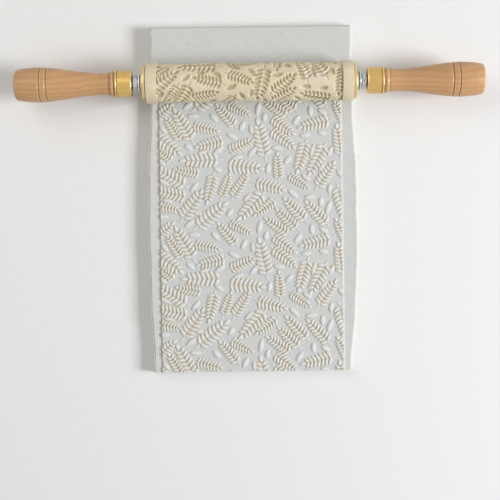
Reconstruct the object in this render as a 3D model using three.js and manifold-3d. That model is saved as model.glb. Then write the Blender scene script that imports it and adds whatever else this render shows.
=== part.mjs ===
// Clay texture roller: an engraved drum that turns freely on a steel axle between two turned handles.
// Millimetres. +X runs along the axle, +Y is the way it rolls and +Z is up, with the origin at the
// drum's centre.
import * as THREE from "three";
import { mergeVertices } from "three/addons/utils/BufferGeometryUtils.js";
import Module from "manifold-3d";

const wasm = await Module();
wasm.setup();

// Engraved band. The print repeats once for each turn of the drum, so the repeat sets its girth.
const patternLength = 100;
const patternRepeat = 65.3;
const rimWidth = 6;
const rimStep = 0.6;
const rimEdge = 0.4;
const sleeveWall = 1.8;
const leafDepth = 0.9;

// Sprigs of paired leaflets, and the loose leaflets that lie between them.
const sprigLimit = 40;
const sprigLength = 14.8;
const sprigSpacing = 5.2;
const sprigSpreadShare = 0.22;
const sprigPairs = 7;
const leafletLength = 3.8;
const leafletWidth = 1.9;
const leafletAngle = THREE.MathUtils.degToRad(74);
const growthStartShare = 0.42;
const growthSpanShare = 0.36;
const tipLeafletShare = 0.85;
const looseLimit = 30;
const looseSpacing = 3.8;
const looseLength = 5.4;
const looseWidth = 2.7;

// Core, bushes and end caps, which turn with the sleeve.
const coreClearance = 1;
const capThickness = 1.5;
const capMargin = 1.2;
const capEdge = 0.4;
const screwsPerCap = 3;
const screwHeadShare = 0.39;
const screwShankShare = 0.18;
const screwHeadDepth = 0.8;
const screwLength = 6;
const screwPoint = 0.6;
const screwSlotWidth = 0.4;
const screwSlotDepth = 0.35;
const bushWall = 1.4;
const bushDepth = 8;
const bushFlangeOverhang = 0.6;
const bushFlangeThickness = 1;

// Axle and what is clamped on it.
const axleDiameter = 5;
const axleEdge = 0.5;
const thrustRadius = 5.4;
const thrustThickness = 0.8;
const nutAcrossFlats = 8;
const nutHeight = 2.7;
const nutCornerEdge = 0.35;
const endWasherRadius = 4.8;
const endWasherThickness = 0.8;
const endNutHeight = 3;

// Handles and ferrules.
const handleLength = 62;
const tenonRadius = 5.9;
const ferruleWall = 0.9;
const ferruleLip = 1;
const ferruleLength = 9;
const ferruleRoll = 0.35;
const handleNeckRadius = 6.1;
const handleSwellRadius = 9.2;
const handleEndRadius = 8.3;
const handleEndRound = 1.5;
const handleNeckShare = 0.2;
const handleSwellShare = 0.68;
const handleTailShare = 0.9;
const beadLength = 2.8;
const beadHeight = 0.7;
const grooveDepth = 0.35;
const grooveShares = [0.5, 0.56];
const grooveHalfShare = 0.009;
const socketRadius = 5.3;
const socketDepth = 5;

// Clearances: between touching pieces, round the turning axle, and what a cutter runs past its work.
const seatGap = 0.3;
const runningGap = 0.3;
const cutOverrun = 1;

// Sides of each round form, where multiples of four keep a flat face down and one up, and steps of
// its curves.
const drumSides = 24;
const handleSides = 16;
const fittingSides = 16;
const screwSides = 8;
const nutSides = 6;
const gripSteps = 10;
const beadSteps = 4;
const roundingSteps = 3;

// Random draws for the layout, always from the same seed.
const layoutSeed = 20271;
const drawFactor = 48271;
const drawModulus = 2147483647;
const layoutAttempts = 30000;
const spinePoints = 5;

const groundRadius = patternRepeat / (2 * Math.PI);
const rimRadius = groundRadius + rimStep;
const drumLength = patternLength + 2 * rimWidth;
const sleeveBoreRadius = groundRadius - sleeveWall;
const coreRadius = sleeveBoreRadius - seatGap;
const axleRadius = axleDiameter / 2;
const coreBoreRadius = axleRadius + coreClearance;
const bushBoreRadius = axleRadius + runningGap;
const bushRadius = bushBoreRadius + bushWall;
const bushPocketRadius = bushRadius + seatGap;
const bushFlangeRadius = bushRadius + bushFlangeOverhang;
const screwLand = coreRadius - bushPocketRadius;
const screwPitchRadius = bushPocketRadius + screwLand / 2;
const screwHeadRadius = screwHeadShare * screwLand;
const screwShankRadius = screwShankShare * screwLand;
const capRadius = rimRadius - capMargin;
const fixedBoreRadius = axleRadius + seatGap;
const ferruleInnerRadius = tenonRadius + seatGap;
const ferruleRadius = ferruleInnerRadius + ferruleWall;

// Where each piece begins and ends along the axle, on the right, one after the other.
const capStart = drumLength / 2 + seatGap;
const flangeStart = capStart + capThickness + seatGap;
const thrustStart = flangeStart + bushFlangeThickness + seatGap;
const lockNutStart = thrustStart + thrustThickness + seatGap;
const ferruleStart = lockNutStart + nutHeight + seatGap;
const handleStart = ferruleStart + ferruleLip + seatGap;
const handleEnd = handleStart + handleLength;
const endWasherStart = handleEnd - socketDepth + seatGap;
const endNutStart = endWasherStart + endWasherThickness + seatGap;
const axleEnd = endNutStart + endNutHeight;

const finishes = {
  resin: { color: 0xe9e0cc, roughness: 0.55, metalness: 0 },
  beech: { color: 0xcb9c69, roughness: 0.5, metalness: 0 },
  steel: { color: 0xb9bcc0, roughness: 0.35, metalness: 1 },
  brass: { color: 0xc9a24e, roughness: 0.35, metalness: 1 },
  nylon: { color: 0xf1efe8, roughness: 0.6, metalness: 0 },
};

// A solid turned about X from a profile of [x, radius] pairs. Radii are measured to the flats.
function turned(profile, sides) {
  const toCorner = 1 / Math.cos(Math.PI / sides);
  const points = profile.map(([x, radius]) => new THREE.Vector2(radius * toCorner, x));
  const geometry = new THREE.LatheGeometry(points, sides, Math.PI / sides, 2 * Math.PI);
  return geometry.rotateZ(-Math.PI / 2);
}

// A plain or hollow cylinder along X, with its outer edges bevelled.
function roundBar(start, end, radius, sides, edge = 0, boreRadius = 0) {
  const shoulder = radius - edge;
  const bevelled = [[start, shoulder], [start + edge, radius], [end - edge, radius], [end, shoulder]];
  const outer = edge > 0 ? bevelled : [[start, radius], [end, radius]];
  const closing = boreRadius > 0 ? [[start, boreRadius]] : [];
  return turned([[start, boreRadius], ...outer, [end, boreRadius], ...closing], sides);
}

// Geometry to solid, with shared corners merged.
function toSolid(geometry) {
  const plain = geometry.clone();
  plain.deleteAttribute("normal");
  plain.deleteAttribute("uv");
  const merged = mergeVertices(plain);
  const triVerts = new Uint32Array(merged.index.array);
  const vertProperties = new Float32Array(merged.attributes.position.array);
  return new wasm.Manifold(new wasm.Mesh({ numProp: 3, vertProperties, triVerts }));
}

// Solid back to geometry.
function toGeometry(solid) {
  const mesh = solid.getMesh();
  const geometry = new THREE.BufferGeometry();
  geometry.setAttribute("position", new THREE.BufferAttribute(new Float32Array(mesh.vertProperties), 3));
  geometry.setIndex(new THREE.BufferAttribute(new Uint32Array(mesh.triVerts), 1));
  return geometry;
}

// A source of numbers from 0 to 1 that is the same in every run.
function makeDraw(seed) {
  let state = seed;
  return () => {
    state = (state * drawFactor) % drawModulus;
    return state / drawModulus;
  };
}

// Distance between two places on the unrolled band, which meets itself round the drum.
function unrolledDistance(a, b) {
  const along = a.x - b.x;
  const straight = Math.abs(a.v - b.v) % patternRepeat;
  const around = Math.min(straight, patternRepeat - straight);
  return Math.hypot(along, around);
}

// A midrib on the unrolled band: its middle, its heading, its length and points along it.
function makeSpine(x, v, heading, length) {
  const points = [];
  for (let index = 0; index < spinePoints; index += 1) {
    const along = (index / (spinePoints - 1) - 0.5) * length;
    points.push({ x: x + along * Math.cos(heading), v: v + along * Math.sin(heading) });
  }
  return { x, v, heading, length, points };
}

// Throws midribs at random and keeps each one that stays clear of those before it.
function scatter(draw, limit, length, spreadShare, spacing, neighbours) {
  const kept = [];
  for (let attempt = 0; attempt < layoutAttempts && kept.length < limit; attempt += 1) {
    const x = (draw() - 0.5) * patternLength;
    const v = draw() * patternRepeat;
    const heading = draw() * 2 * Math.PI;
    const scale = 1 + spreadShare * (2 * draw() - 1);
    const spine = makeSpine(x, v, heading, length * scale);
    const others = [...neighbours, ...kept];
    const clear = others.every((other) => other.points.every((there) => spine.points.every(
      (here) => unrolledDistance(here, there) >= spacing)));
    if (clear) {
      kept.push(spine);
    }
  }
  return kept;
}

// The leaflets of one sprig, in pairs along its midrib, and one at its tip. They shrink from the foot
// to the tip as the fall of a sine.
function sprigLeaflets(spine) {
  const leaflets = [];
  const scale = spine.length / sprigLength;
  const addLeaflet = (along, turn, share) => {
    const heading = spine.heading + turn;
    const reach = leafletLength * share * scale / 2;
    leaflets.push({
      x: spine.x + along * Math.cos(spine.heading) + reach * Math.cos(heading),
      v: spine.v + along * Math.sin(spine.heading) + reach * Math.sin(heading),
      heading,
      length: 2 * reach,
      width: leafletWidth * scale,
    });
  };
  for (let pair = 0; pair < sprigPairs; pair += 1) {
    const placeShare = (pair + 0.5) / sprigPairs;
    const growth = Math.sin(Math.PI * (growthStartShare + growthSpanShare * placeShare));
    const along = (placeShare - 0.5) * spine.length;
    addLeaflet(along, leafletAngle, growth);
    addLeaflet(along, -leafletAngle, growth);
  }
  addLeaflet(spine.length / 2, 0, tipLeafletShare);
  return leaflets;
}

// Every leaflet of the design, on the unrolled band.
function layOutLeaflets() {
  const draw = makeDraw(layoutSeed);
  const sprigs = scatter(draw, sprigLimit, sprigLength, sprigSpreadShare, sprigSpacing, []);
  const loose = scatter(draw, looseLimit, looseLength, sprigSpreadShare, looseSpacing, sprigs);
  const looseLeaflets = loose.map((spine) => ({ ...spine, width: looseWidth }));
  console.log(`sprigs ${sprigs.length}, loose leaflets ${loose.length}`);
  return [...sprigs.flatMap(sprigLeaflets), ...looseLeaflets];
}

// A pointed, ridged cutter for one leaflet, laid on the drum. The way round starts at the bottom,
// towards -Y and up.
function leafletCutter({ x, v, heading, length, width }) {
  const cutterRadius = groundRadius / Math.cos(Math.PI / drumSides);
  const depth = cutterRadius - groundRadius + leafDepth;
  const geometry = new THREE.OctahedronGeometry(1);
  geometry.scale(length / 2, width / 2, depth);
  geometry.rotateZ(heading);
  geometry.rotateX(Math.PI);
  geometry.translate(0, 0, -cutterRadius);
  geometry.rotateX(-v / groundRadius);
  geometry.translate(x, 0, 0);
  return toSolid(geometry);
}

function makeSleeve() {
  const bandEnd = patternLength / 2;
  const sleeveEnd = drumLength / 2;
  const band = toSolid(roundBar(-bandEnd - cutOverrun, bandEnd + cutOverrun, groundRadius, drumSides));
  const cutters = layOutLeaflets().map(leafletCutter);
  const allCutters = cutters.reduce((joined, cutter) => joined.add(cutter));
  const rightRim = turned([
    [bandEnd, 0], [bandEnd, rimRadius], [sleeveEnd - rimEdge, rimRadius], [sleeveEnd, rimRadius - rimEdge],
    [sleeveEnd, 0],
  ], drumSides);
  const leftRim = rightRim.clone().rotateY(Math.PI);
  const boreEnd = sleeveEnd + cutOverrun;
  const bore = toSolid(roundBar(-boreEnd, boreEnd, sleeveBoreRadius, drumSides));
  const engraved = band.subtract(allCutters);
  return toGeometry(engraved.add(toSolid(rightRim)).add(toSolid(leftRim)).subtract(bore));
}

// Places round the cap's screw circle, as turns about X.
function screwTurns() {
  return Array.from({ length: screwsPerCap }, (_, index) => (index / screwsPerCap) * 2 * Math.PI);
}

// The screw's shape, or the hole that it needs with a clearance all round.
function screwProfile(clearance, tail) {
  const headFace = capStart + capThickness;
  const headRadius = screwHeadRadius + clearance;
  const shankRadius = screwShankRadius + clearance;
  const coneEnd = headFace - screwHeadDepth - clearance;
  return { headFace, headRadius, shankRadius, coneEnd, tip: headFace - screwLength - tail };
}

function makeScrewHole() {
  const hole = screwProfile(seatGap, seatGap);
  return turned([
    [hole.tip, 0], [hole.tip, hole.shankRadius], [hole.coneEnd, hole.shankRadius],
    [hole.headFace, hole.headRadius], [hole.headFace + cutOverrun, hole.headRadius],
    [hole.headFace + cutOverrun, 0],
  ], screwSides).translate(0, 0, screwPitchRadius);
}

function makeScrew() {
  const screw = screwProfile(0, 0);
  const body = turned([
    [screw.tip, 0], [screw.tip + screwPoint, screw.shankRadius], [screw.coneEnd, screw.shankRadius],
    [screw.headFace, screw.headRadius], [screw.headFace, 0],
  ], screwSides);
  const slotLength = 2 * (screwHeadRadius + cutOverrun);
  const slot = new THREE.BoxGeometry(2 * screwSlotDepth, slotLength, screwSlotWidth);
  slot.translate(screw.headFace, 0, 0);
  return toGeometry(toSolid(body).subtract(toSolid(slot))).translate(0, 0, screwPitchRadius);
}

function makeCore() {
  const end = drumLength / 2;
  const pocketEnd = end - bushDepth;
  const outline = [
    [-end, coreRadius], [end, coreRadius], [end, bushPocketRadius], [pocketEnd, bushPocketRadius],
    [pocketEnd, coreBoreRadius], [-pocketEnd, coreBoreRadius], [-pocketEnd, bushPocketRadius],
    [-end, bushPocketRadius], [-end, coreRadius],
  ];
  let core = toSolid(turned(outline, drumSides));
  for (const turn of screwTurns()) {
    const rightHole = makeScrewHole().rotateX(turn);
    const leftHole = rightHole.clone().rotateY(Math.PI);
    core = core.subtract(toSolid(rightHole)).subtract(toSolid(leftHole));
  }
  return toGeometry(core);
}

function makeCap() {
  const end = capStart + capThickness;
  const blank = [
    [capStart, bushPocketRadius], [capStart, capRadius], [end - capEdge, capRadius],
    [end, capRadius - capEdge], [end, bushPocketRadius], [capStart, bushPocketRadius],
  ];
  let cap = toSolid(turned(blank, drumSides));
  for (const turn of screwTurns()) {
    cap = cap.subtract(toSolid(makeScrewHole().rotateX(turn)));
  }
  return toGeometry(cap);
}

function makeBush() {
  const innerEnd = drumLength / 2 - bushDepth + seatGap;
  const flangeEnd = flangeStart + bushFlangeThickness;
  return turned([
    [innerEnd, bushBoreRadius], [innerEnd, bushRadius], [flangeStart, bushRadius],
    [flangeStart, bushFlangeRadius], [flangeEnd, bushFlangeRadius], [flangeEnd, bushBoreRadius],
    [innerEnd, bushBoreRadius],
  ], fittingSides);
}

// A hexagon nut with its corners turned off at both faces.
function makeNut(start, height) {
  const end = start + height;
  const flat = nutAcrossFlats / 2;
  const corner = flat / Math.cos(Math.PI / nutSides);
  const hexagon = toSolid(turned([[start, 0], [start, flat], [end, flat], [end, 0]], nutSides));
  const turnedOff = toSolid(roundBar(start, end, corner, fittingSides, nutCornerEdge));
  const bore = toSolid(roundBar(start - cutOverrun, end + cutOverrun, fixedBoreRadius, fittingSides));
  return toGeometry(hexagon.intersect(turnedOff).subtract(bore));
}

// A brass cup with a lip over the handle's end and a rolled back edge.
function makeFerrule() {
  const end = ferruleStart + ferruleLength;
  const lipEnd = ferruleStart + ferruleLip;
  return turned([
    [ferruleStart, fixedBoreRadius], [ferruleStart, ferruleRadius - ferruleRoll],
    [ferruleStart + ferruleRoll, ferruleRadius], [end - 3 * ferruleRoll, ferruleRadius],
    [end - 2 * ferruleRoll, ferruleRadius + ferruleRoll], [end - ferruleRoll, ferruleRadius + ferruleRoll],
    [end, ferruleRadius], [end, ferruleInnerRadius], [lipEnd, ferruleInnerRadius],
    [lipEnd, fixedBoreRadius], [ferruleStart, fixedBoreRadius],
  ], handleSides);
}

// The grip's long curve, from the slim neck through the swell for the palm, with grooves turned in it.
function gripOutline(neckStart, neckStartRadius, curveEnd) {
  const grip = curveEnd - neckStart;
  const station = (share) => neckStart + share * grip;
  const curve = new THREE.SplineCurve([
    new THREE.Vector2(neckStart, neckStartRadius),
    new THREE.Vector2(station(handleNeckShare), handleNeckRadius),
    new THREE.Vector2(station(handleSwellShare), handleSwellRadius),
    new THREE.Vector2(station(handleTailShare), handleEndRadius + handleEndRound / 2),
    new THREE.Vector2(curveEnd, handleEndRadius),
  ]);
  const stops = Array.from({ length: gripSteps + 1 }, (_, step) => ({ share: step / gripSteps, cut: 0 }));
  for (const share of grooveShares) {
    stops.push({ share: share - grooveHalfShare, cut: 0 });
    stops.push({ share, cut: grooveDepth });
    stops.push({ share: share + grooveHalfShare, cut: 0 });
  }
  stops.sort((before, after) => before.share - after.share);
  return stops.map(({ share, cut }) => {
    const point = curve.getPoint(share);
    return [point.x, point.y - cut];
  });
}

// The turned handle: a tenon in the ferrule, a bead, the grip and a rounded end with a socket for
// the nut.
function makeHandle() {
  const shoulder = ferruleStart + ferruleLength + seatGap;
  const roundStart = handleEnd - handleEndRound;
  const bead = Array.from({ length: beadSteps }, (_, step) => {
    const share = step / beadSteps;
    return [shoulder + share * beadLength, ferruleInnerRadius + beadHeight * Math.sin(Math.PI * share)];
  });
  const grip = gripOutline(shoulder + beadLength, ferruleInnerRadius, roundStart);
  const roundCentre = handleEndRadius - handleEndRound;
  const rounding = Array.from({ length: roundingSteps }, (_, index) => {
    const turn = ((index + 1) / roundingSteps) * (Math.PI / 2);
    return [roundStart + handleEndRound * Math.sin(turn), roundCentre + handleEndRound * Math.cos(turn)];
  });
  const socketStart = handleEnd - socketDepth;
  return turned([
    [handleStart, fixedBoreRadius], [handleStart, tenonRadius], [shoulder, tenonRadius],
    ...bead, ...grip, ...rounding, [handleEnd, socketRadius], [socketStart, socketRadius],
    [socketStart, fixedBoreRadius], [handleStart, fixedBoreRadius],
  ], handleSides);
}

const roller = new THREE.Group();
const rightEnd = new THREE.Group();
const leftEnd = new THREE.Group();
leftEnd.rotation.y = Math.PI;
roller.add(rightEnd, leftEnd);

function addPiece(group, name, geometry, finish) {
  const mesh = new THREE.Mesh(geometry, new THREE.MeshStandardMaterial(finish));
  mesh.name = name;
  group.add(mesh);
  return mesh;
}

addPiece(roller, "texture_sleeve", makeSleeve(), finishes.resin);
addPiece(roller, "drum_core", makeCore(), finishes.beech);
addPiece(roller, "axle", roundBar(-axleEnd, axleEnd, axleRadius, fittingSides, axleEdge), finishes.steel);

for (const [side, group] of [["left", leftEnd], ["right", rightEnd]]) {
  addPiece(group, `end_cap_${side}`, makeCap(), finishes.brass);
  screwTurns().forEach((turn, index) => {
    const screw = addPiece(group, `cap_screw_${side}_${index + 1}`, makeScrew(), finishes.steel);
    screw.rotation.x = turn;
  });
  addPiece(group, `bush_${side}`, makeBush(), finishes.nylon);
  const thrustEnd = thrustStart + thrustThickness;
  const thrust = roundBar(thrustStart, thrustEnd, thrustRadius, fittingSides, 0, fixedBoreRadius);
  addPiece(group, `thrust_washer_${side}`, thrust, finishes.steel);
  addPiece(group, `lock_nut_${side}`, makeNut(lockNutStart, nutHeight), finishes.steel);
  addPiece(group, `ferrule_${side}`, makeFerrule(), finishes.brass);
  addPiece(group, `handle_${side}`, makeHandle(), finishes.beech);
  const washerEnd = endWasherStart + endWasherThickness;
  const washer = roundBar(endWasherStart, washerEnd, endWasherRadius, fittingSides, 0, fixedBoreRadius);
  addPiece(group, `end_washer_${side}`, washer, finishes.steel);
  addPiece(group, `end_nut_${side}`, makeNut(endNutStart, endNutHeight), finishes.brass);
}

export default roller;
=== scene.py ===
"""Dresses the packed clay texture roller: an engraved drum on an axle between two turned handles.

Blender 4.5, metres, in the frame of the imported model: +X along the axle, +Y the way it rolls and
+Z up, with the origin at the drum's centre. The roller stands on the strip of clay that it has
just printed. The strip and the floor are the stage and aren't part of the object.
"""
from __future__ import annotations

import logging
import math
from collections.abc import Callable, Iterator
from dataclasses import dataclass, field
from enum import Enum
from functools import partial
from typing import Any

import bmesh
import bpy
import numpy as np
from bpy.types import Material, NodeSocket, NodeTree, Object, World
from mathutils import Matrix, Vector


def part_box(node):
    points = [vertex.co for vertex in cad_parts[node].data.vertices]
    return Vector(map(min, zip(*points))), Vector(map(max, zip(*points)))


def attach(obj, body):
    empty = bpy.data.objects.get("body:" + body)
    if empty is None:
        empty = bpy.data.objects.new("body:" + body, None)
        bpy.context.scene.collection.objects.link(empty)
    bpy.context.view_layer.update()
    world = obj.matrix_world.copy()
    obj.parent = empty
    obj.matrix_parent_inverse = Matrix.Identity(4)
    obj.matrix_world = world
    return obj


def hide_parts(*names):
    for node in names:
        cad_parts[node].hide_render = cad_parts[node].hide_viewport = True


LOG = logging.getLogger("clay_texture_roller")

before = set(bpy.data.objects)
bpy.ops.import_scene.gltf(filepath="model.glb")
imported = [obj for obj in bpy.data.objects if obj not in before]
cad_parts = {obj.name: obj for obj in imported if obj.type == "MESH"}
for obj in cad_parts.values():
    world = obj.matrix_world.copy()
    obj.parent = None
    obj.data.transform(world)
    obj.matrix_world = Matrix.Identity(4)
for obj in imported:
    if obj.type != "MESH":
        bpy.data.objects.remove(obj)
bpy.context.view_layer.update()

MM = 0.001
TURN = 2.0 * math.pi
TINY = 1e-9
WELD = 1e-7
# An Adder is add_node with its tree filled in.
Adder = Callable[..., NodeSocket]
Grid = np.ndarray


class Side(Enum):
    """The two ends of the roller, with the sign of X on each."""

    LEFT = -1
    RIGHT = 1

    def of(self, stem: str) -> str:
        """The name of this end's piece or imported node."""
        return f"{stem}_{self.name.lower()}"


class Body(Enum):
    """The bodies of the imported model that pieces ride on."""

    FRAME = "frame"
    DRUM = "drum"


class Slot(Enum):
    """The record's material slots."""

    RESIN = "sleeve_resin"
    BEECH = "beech"
    STEEL = "steel"
    BRASS = "brass"
    NYLON = "nylon"


class Shading(Enum):
    """How a mesh is shaded, as the angle past which an edge is sharp."""

    SOFT = math.radians(60)
    CRISP = math.radians(28)


class Attribute(Enum):
    """Point attributes that the materials read, each from 0 to 1."""

    ENGRAVING = "engraving_depth"
    WEAR = "edge_wear"
    GRIME = "corner_grime"
    PRINT = "print_height"
    # Painted warm shading round the print, under the band's walls and along the strip's edges.
    HOLLOW = "print_hollow"


def linear(hex_colour: str) -> tuple[float, float, float, float]:
    """Turns an sRGB hex colour into linear RGBA.

    Args:
        hex_colour: six hex digits, such as "E6D9BF".

    Returns:
        Linear red, green and blue with an alpha of 1.
    """
    values = [int(hex_colour[at:at + 2], 16) / 255 for at in (0, 2, 4)]
    red, green, blue = (v / 12.92 if v <= 0.04045 else ((v + 0.055) / 1.055) ** 2.4 for v in values)
    return (red, green, blue, 1.0)


def per_mm(count: float) -> float:
    """Texture scale in repeats per metre for a count of repeats per millimetre."""
    return count / MM


def add_node(
    tree: NodeTree, kind: str, inputs: dict[str | int, Any], output: str = "", **settings: Any
) -> NodeSocket | None:
    """Adds a shader node with its settings, its constant inputs and its links.

    Args:
        tree: the node tree to add to.
        kind: the node's type, without the "ShaderNode" before it.
        inputs: for each input, by name or number, an output to link or a constant.
        output: the name of the wanted output, which is otherwise the first one in use.
        settings: attributes of the node itself.

    Returns:
        The wanted output, or None where the node has none.
    """
    node = tree.nodes.new(f"ShaderNode{kind}")
    for name, value in settings.items():
        setattr(node, name, value)
    for name, value in inputs.items():
        if isinstance(value, NodeSocket):
            tree.links.new(value, node.inputs[name])
        else:
            node.inputs[name].default_value = value
    return node.outputs[output] if output else next((end for end in node.outputs if end.enabled), None)


def emptied(block: Material | World) -> Adder:
    """Clears the nodes that a new material or world comes with.

    Args:
        block: the material or world.

    Returns:
        add_node for its tree.
    """
    block.use_nodes = True
    block.node_tree.nodes.clear()
    return partial(add_node, block.node_tree)


def layered(
    add: Adder, colour: NodeSocket | tuple[float, ...], *layers: tuple[NodeSocket, str]
) -> NodeSocket:
    """Lays tints over a colour one after another, each as far as its amount says.

    Args:
        add: add_node for the material's tree.
        colour: the lowest colour, as an output or as linear RGBA.
        layers: the amount and the sRGB hex colour of each tint.

    Returns:
        The colour seen.
    """
    for amount, tint in layers:
        colour = add("Mix", {"Factor": amount, "A": colour, "B": linear(tint)}, data_type="RGBA")
    return colour


def wear_amounts(add: Adder, patches: NodeSocket) -> list[NodeSocket]:
    """How worn the handled edges are and how grimy the corners that aren't reached.

    Args:
        add: add_node for the material's tree.
        patches: a noise from 0 to 1 that breaks both up.

    Returns:
        The amounts of wear and of grime.
    """
    amounts = []
    for attribute in (Attribute.WEAR, Attribute.GRIME):
        value = add("Attribute", {}, "Fac", attribute_name=attribute.value)
        broken = add("Math", {0: value, 1: patches}, operation="MULTIPLY")
        amounts.append(add("MapRange", {
            "Value": broken, "From Min": 0.08, "From Max": 0.5, "To Max": 0.75}))
    return amounts


def seen_rays(add: Adder) -> NodeSocket:
    """Tells the rays that show the background, which are those of the eye and of mirror images.

    Args:
        add: add_node for the tree of a material or the world.

    Returns:
        An output that is 1 for those rays and 0 for the rays that only light things.
    """
    seen = add("LightPath", {}, "Is Camera Ray")
    path = seen.node.outputs
    for kind in ("Is Glossy Ray", "Is Transmission Ray"):
        seen = add("Math", {0: seen, 1: path[kind]}, operation="MAXIMUM")
    return seen


@dataclass(frozen=True)
class Finish:
    """What every finish shares: a named material that is drawn on Object coordinates."""

    name: str

    def start(self) -> tuple[Adder, NodeSocket]:
        """Makes the material, and returns add_node for its tree and its Object coordinates."""
        add = emptied(bpy.data.materials.new(self.name))
        return add, add("TexCoord", {}, "Object")

    def shown(self, add: Adder, surface: NodeSocket) -> Material:
        """Links a shader to the material's output, and returns the material."""
        add("OutputMaterial", {"Surface": surface})
        return bpy.data.materials[self.name]


@dataclass(frozen=True)
class CastResin(Finish):
    """Cast ivory resin: satin and slightly mottled, with clay dried in its cuts, darkened there as painted
    shade, and smeared on it.
    """

    body: str = "E4D6B8"
    mottle: str = "D9C9A6"
    # The clay left in the cuts is drawn darker than the clay, so it is partly painted shade in the cuts.
    residue_and_shade: str = "B9A987"
    film: str = "E9E4D8"
    roughness: float = 0.46
    dusty_roughness: float = 0.88
    mottle_mm: float = 9.0
    patches_per_mm: float = 0.6
    smears_per_mm: float = 0.11
    # The mould's grain is nearer to 0.05 mm, too fine to show, so it is drawn coarser.
    grain_mm: float = 0.22
    grain_height_mm: float = 0.012

    def build(self) -> Material:
        """Lays the mottle, the clay left in the cuts, darkened as painted shade, and the smears over the body
        colour.

        Returns:
            The material.
        """
        add, place = self.start()
        clouds = add("TexNoise", {
            "Vector": place, "Scale": per_mm(1 / self.mottle_mm), "Detail": 5.0, "Roughness": 0.6})
        depth = add("Attribute", {}, "Fac", attribute_name=Attribute.ENGRAVING.value)
        patches = add("TexNoise", {
            "Vector": place, "Scale": per_mm(self.patches_per_mm), "Detail": 4.0, "Roughness": 0.65})
        # The cuts' depth, broken into patches, lays the clay left in them together with painted shade.
        patchy_cut_depth = add("Math", {0: depth, 1: patches}, operation="MULTIPLY")
        residue_and_shade_amount = add("MapRange", {"Value": patchy_cut_depth, "From Min": 0.05, "From Max": 0.42, "To Max": 0.85})
        smears = add("TexNoise", {
            "Vector": place, "Scale": per_mm(self.smears_per_mm), "Detail": 6.0, "Roughness": 0.7,
            "Distortion": 1.2})
        film = add("MapRange", {"Value": smears, "From Min": 0.5, "From Max": 0.72, "To Max": 0.6})
        dull = add("Math", {0: residue_and_shade_amount, 1: film}, operation="MAXIMUM")
        grain = add("TexNoise", {"Vector": place, "Scale": per_mm(1 / self.grain_mm), "Detail": 3.0})
        return self.shown(add, add("BsdfPrincipled", {
            "Base Color": layered(
                add, linear(self.body), (clouds, self.mottle), (residue_and_shade_amount, self.residue_and_shade), (film, self.film)),
            "Roughness": add("MapRange", {
                "Value": dull, "To Min": self.roughness, "To Max": self.dusty_roughness}),
            "Normal": add("Bump", {
                "Height": grain, "Distance": self.grain_height_mm * MM, "Strength": 0.6}),
            "IOR": 1.5}))


@dataclass(frozen=True)
class TurnedBeech(Finish):
    """Oiled beech turned on a lathe: pinkish tan, faint rings and short dark ray flecks along X."""

    light: str = "D3A878"
    dark: str = "B98654"
    fleck: str = "96663F"
    worn: str = "DDB68A"
    grime: str = "7A5230"
    roughness: tuple[float, float] = (0.34, 0.54)
    ring_mm: float = 2.6
    wander_mm: float = 4.0
    bends_per_mm: float = 0.03
    pith_mm: tuple[float, float] = (38.0, 19.0)
    streak_share: float = 0.68
    streak_mm: tuple[float, float] = (12.5, 0.5)
    fleck_mm: tuple[float, float] = (2.2, 0.28)
    # The pores of beech are about 0.07 mm wide, too fine to show, so they are drawn wider.
    pore_mm: tuple[float, float] = (2.5, 0.12)
    pore_height_mm: float = 0.05

    def build(self) -> Material:
        """Draws curved growth rings about a pith beside the piece, then streaks, flecks and pores.

        Returns:
            The material.
        """
        add, place = self.start()
        wander = add("TexNoise", {
            "Vector": place, "Scale": per_mm(self.bends_per_mm), "Detail": 3.0}, "Color")
        shift = add("VectorMath", {
            0: wander, 1: (0.0, self.wander_mm * MM, self.wander_mm * MM)}, operation="MULTIPLY")
        shifted = add("VectorMath", {0: place, 1: shift}, operation="ADD")
        beside = add("Mapping", {
            "Vector": shifted, "Location": (0.0, self.pith_mm[0] * MM, self.pith_mm[1] * MM)})
        # A wave's rings lie TURN / 20 apart at a scale of 1.
        rings = add("TexWave", {
            "Vector": beside, "Scale": TURN / 20 / (self.ring_mm * MM), "Distortion": 0.5, "Detail": 1.0,
            "Detail Scale": 0.5}, "Fac", wave_type="RINGS", rings_direction="X", wave_profile="SIN")
        along, across, pores = (
            add("Mapping", {
                "Vector": place, "Scale": (per_mm(1 / length), per_mm(1 / width), per_mm(1 / width))})
            for length, width in (self.streak_mm, self.fleck_mm, self.pore_mm))
        streaks = add("TexNoise", {"Vector": along, "Scale": 1.0, "Detail": 5.0, "Roughness": 0.6})
        tone = add("Mix", {"Factor": self.streak_share, "A": rings, "B": streaks}, data_type="FLOAT")
        cells = add("TexVoronoi", {"Vector": across, "Scale": 0.6, "Randomness": 1.0})
        flecks = add("MapRange", {
            "Value": cells, "From Min": 0.12, "From Max": 0.26, "To Min": 0.75, "To Max": 0.0})
        fine = add("TexNoise", {"Vector": pores, "Scale": 1.0, "Detail": 2.0})
        wear, grime = wear_amounts(add, streaks)
        return self.shown(add, add("BsdfPrincipled", {
            "Base Color": layered(
                add, linear(self.dark), (tone, self.light), (flecks, self.fleck), (wear, self.worn),
                (grime, self.grime)),
            "Roughness": add("MapRange", {
                "Value": streaks, "To Min": self.roughness[0], "To Max": self.roughness[1]}),
            "Normal": add("Bump", {
                "Height": fine, "Distance": self.pore_height_mm * MM, "Strength": 0.35}),
            "IOR": 1.48, "Coat Weight": 0.12, "Coat Roughness": 0.3}))


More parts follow.
